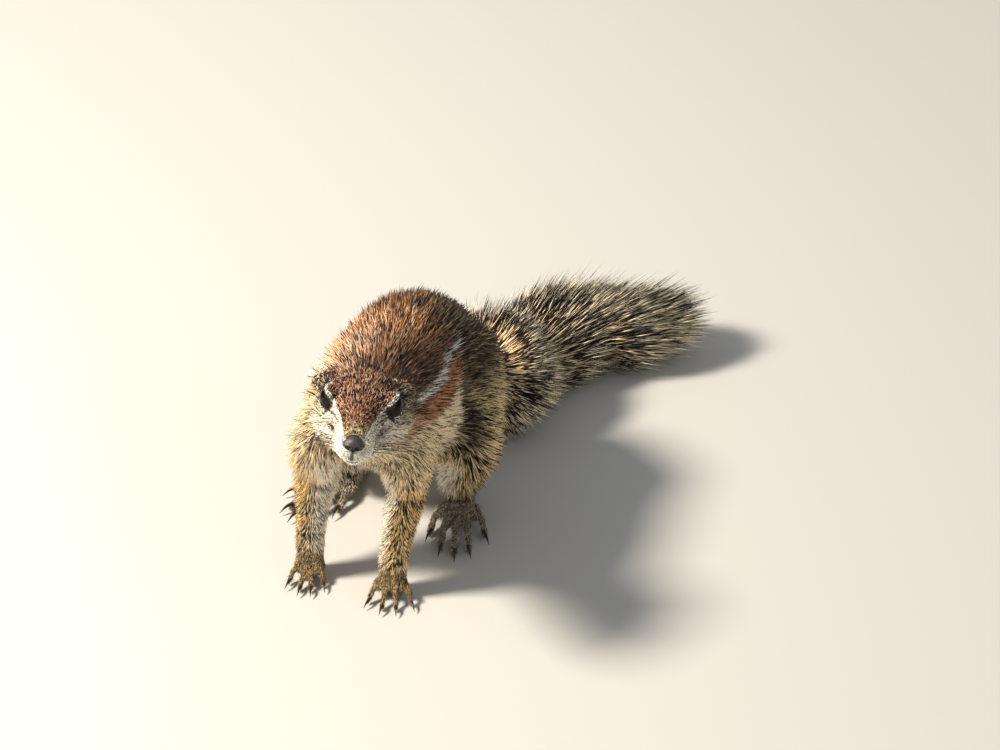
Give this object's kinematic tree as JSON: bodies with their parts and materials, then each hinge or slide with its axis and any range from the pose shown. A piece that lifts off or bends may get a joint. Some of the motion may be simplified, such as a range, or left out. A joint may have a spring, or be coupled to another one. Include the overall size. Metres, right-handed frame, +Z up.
{
  "type": "cape ground squirrel model",
  "caption": "Life-size still model of a Cape ground squirrel on all fours, head raised and back arched, with its brush tail laid on the ground.",
  "frame": {"origin": "on the ground, under the middle of the whole animal's box from nose to tail tip", "axes": "+Z up, -Y the way the trunk faces, +X the animal's left, the side to which the tail bends"},
  "size_m": [0.1344, 0.2956, 0.1261],
  "materials": {
    "back_fur": "short coarse cinnamon hair ticked dark and cream",
    "head_fur": "very short chestnut hair ticked pink and dark",
    "pale_fur": "short cream hair",
    "limb_fur": "short ochre hair ticked dark brown",
    "tail_hair": "long hair banded cream, dark brown and white",
    "nose_skin": "bare grained grey-brown skin, slightly moist",
    "eye_wet": "wet glossy dark brown eye",
    "claw_horn": "smooth dark horn, worn at the tip"
  },
  "bodies": {
    "root": {"chest": "back_fur", "ear_L": "pale_fur", "ear_R": "pale_fur", "eye_L": "eye_wet", "eye_R": "eye_wet", "fore_claw_L1": "claw_horn", "fore_claw_L2": "claw_horn", "fore_claw_L3": "claw_horn", "fore_claw_L4": "claw_horn", "fore_claw_R1": "claw_horn", "fore_claw_R2": "claw_horn", "fore_claw_R3": "claw_horn", "fore_claw_R4": "claw_horn", "fore_foot_L": "limb_fur", "fore_foot_R": "limb_fur", "forearm_L": "limb_fur", "forearm_R": "limb_fur", "head": "head_fur", "hind_claw_L1": "claw_horn", "hind_claw_L2": "claw_horn", "hind_claw_L3": "claw_horn", "hind_claw_L4": "claw_horn", "hind_claw_L5": "claw_horn", "hind_claw_R1": "claw_horn", "hind_claw_R2": "claw_horn", "hind_claw_R3": "claw_horn", "hind_claw_R4": "claw_horn", "hind_claw_R5": "claw_horn", "hind_foot_L": "limb_fur", "hind_foot_R": "limb_fur", "jaw": "pale_fur", "neck": "back_fur", "nose": "nose_skin", "rump": "back_fur", "shank_L": "limb_fur", "shank_R": "limb_fur", "tail_middle": "tail_hair", "tail_root": "tail_hair", "tail_tip": "tail_hair", "thigh_L": "limb_fur", "thigh_R": "limb_fur", "upper_arm_L": "limb_fur", "upper_arm_R": "limb_fur"}
  },
  "joints": []
}
